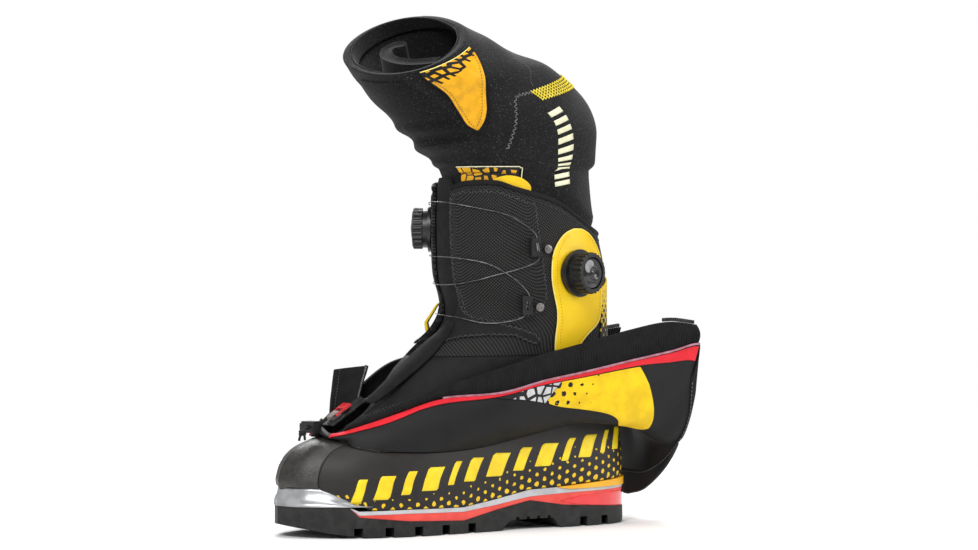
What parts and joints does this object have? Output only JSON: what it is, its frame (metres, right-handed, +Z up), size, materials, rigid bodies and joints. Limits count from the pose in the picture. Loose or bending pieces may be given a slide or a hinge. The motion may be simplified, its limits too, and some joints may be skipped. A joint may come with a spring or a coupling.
{
  "type": "mountaineering boots",
  "caption": "High double boot with stiff lugged sole, rubber rand, unzipped folded-down gaiter, dial-laced shaft and a padded liner bent forward above the cuff.",
  "frame": {"origin": "on the ground under the middle of the heel tread", "axes": "-X towards the toe, -Y the outer side of the left foot, +Z up"},
  "size_m": [0.3608, 0.1389, 0.4194],
  "materials": {
    "outsole_rubber": "matt moulded rubber",
    "midsole_foam": "satin foam",
    "heel_insert_tpu": "glossy",
    "band_grey": "satin",
    "welt_yellow": "satin",
    "welt_grey": "satin",
    "carbon": "satin",
    "board": "pressed fibre",
    "foam_bed": "felt",
    "rand_rubber": "pebbled",
    "toe_rubber": "stippled",
    "shell_fabric": "woven",
    "mesh_fabric": "coarse mesh",
    "trim_fabric": "piping",
    "plate_yellow": "satin",
    "dial_black": "satin",
    "dial_gloss": "glossy",
    "steel": "drawn wire",
    "rivet_steel": "satin",
    "webbing_black": "webbing",
    "webbing_yellow": "webbing",
    "gaiter_fabric": "smooth coated stretch weave",
    "band_fabric": "ribbed",
    "lining_red": "satin weave",
    "zip_plastic": "moulded",
    "patch_yellow": "printed weave",
    "pebble_print": "reflective print",
    "cord_black": "braided",
    "liner_fabric": "heather neoprene",
    "loop_fabric": "brushed loop",
    "strap_yellow": "coated weave"
  },
  "bodies": {
    "boot": {"outsole": "outsole_rubber", "midsole": "midsole_foam", "heel_insert": "heel_insert_tpu", "sole_band": "band_grey", "heel_welt": "welt_yellow", "toe_welt": "welt_grey", "shank": "carbon", "lasting_board": "board", "footbed": "foam_bed", "rand": "rand_rubber", "toe_cap": "toe_rubber", "lower_shell": "shell_fabric", "quarters": "shell_fabric", "tongue": "shell_fabric", "cuff_trim": "trim_fabric", "mesh_panels": "mesh_fabric", "instep_overlay": "trim_fabric", "rear_strip": "patch_yellow", "dial_plate_lateral": "plate_yellow", "dial_base_lateral": "dial_black", "dial_base_medial": "dial_black", "lace_guides": "dial_black", "guide_rivets": "rivet_steel", "lace_wire_upper": "steel", "lace_wire_lower": "steel", "instep_strap": "webbing_black", "pull_tab": "webbing_yellow", "gaiter": "gaiter_fabric", "zip_band": "band_fabric", "zip_lining": "lining_red", "zip_teeth": "zip_plastic", "side_patch": "patch_yellow", "pebble_panel": "pebble_print", "hem_binding": "trim_fabric", "toe_zip_flap": "band_fabric", "toe_zip_chain": "zip_plastic", "drawcord": "cord_black", "liner": "liner_fabric", "liner_sole": "liner_fabric", "liner_strap_lower": "webbing_black", "liner_strap_end": "strap_yellow", "liner_loop_pad": "loop_fabric", "liner_lining_roll": "loop_fabric"},
    "lateral_spindle": {"dial_spindle_lateral": "rivet_steel"},
    "lateral_knob": {"dial_knob_lateral": "dial_black", "dial_cap_lateral": "dial_gloss"},
    "lateral_spool": {"dial_spool_lateral": "dial_black"},
    "medial_spindle": {"dial_spindle_medial": "rivet_steel"},
    "medial_knob": {"dial_knob_medial": "dial_black", "dial_cap_medial": "dial_gloss"},
    "medial_spool": {"dial_spool_medial": "dial_black"},
    "slider": {"zip_slider": "rivet_steel"},
    "pull": {"zip_pull": "heel_insert_tpu"},
    "cord_lock": {"cord_lock_body": "dial_black"},
    "lock_button": {"cord_lock_button": "dial_black"},
    "upper_strap": {"liner_strap_upper": "liner_fabric", "liner_strap_patch": "strap_yellow"}
  },
  "joints": [
    {"name": "lateral_dial_pull", "type": "slide", "parent": "boot", "child": "lateral_spindle", "axis": [0.342, -0.9397, 0], "range_m": [0, 0.0025]},
    {"name": "lateral_dial_turn", "type": "hinge", "parent": "lateral_spindle", "child": "lateral_knob", "pos_m": [-0.006, -0.0515, 0.207], "axis": [0.342, -0.9397, 0], "continuous": true},
    {"name": "lateral_spool_turn", "type": "hinge", "parent": "boot", "child": "lateral_spool", "pos_m": [-0.006, -0.0515, 0.207], "axis": [0.342, -0.9397, 0], "continuous": true},
    {"name": "medial_dial_pull", "type": "slide", "parent": "boot", "child": "medial_spindle", "axis": [-0.848, 0.5299, 0], "range_m": [0, 0.0025]},
    {"name": "medial_dial_turn", "type": "hinge", "parent": "medial_spindle", "child": "medial_knob", "pos_m": [-0.098, 0.032, 0.244], "axis": [-0.848, 0.5299, 0], "continuous": true},
    {"name": "medial_spool_turn", "type": "hinge", "parent": "boot", "child": "medial_spool", "pos_m": [-0.098, 0.032, 0.244], "axis": [-0.848, 0.5299, 0], "continuous": true},
    {"name": "zip_slide", "type": "slide", "parent": "boot", "child": "slider", "axis": [0.829, 0, 0.5592], "range_m": [0, 0.012]},
    {"name": "zip_pull_flip", "type": "hinge", "parent": "slider", "child": "pull", "pos_m": [-0.20406, 0, 0.09417], "axis": [0, -1, 0], "range_deg": [0, 100]},
    {"name": "cord_lock_slide", "type": "slide", "parent": "boot", "child": "cord_lock", "axis": [-0.8988, -0.4384, 0], "range_m": [0, 0.0026]},
    {"name": "lock_button_press", "type": "slide", "parent": "cord_lock", "child": "lock_button", "axis": [0.4384, -0.8988, 0], "range_m": [0, 0.0018], "stiffness_N_per_m": 400},
    {"name": "upper_strap_open", "type": "hinge", "parent": "boot", "child": "upper_strap", "pos_m": [-0.12882, -0.0471, 0.37677], "axis": [-0.8965, -0.1431, -0.4192], "range_deg": [0, 40]}
  ],
  "couplings": [
    {"joint": "lateral_spool_turn", "follows": "lateral_dial_turn", "ratio": 1},
    {"joint": "medial_spool_turn", "follows": "medial_dial_turn", "ratio": 1}
  ]
}
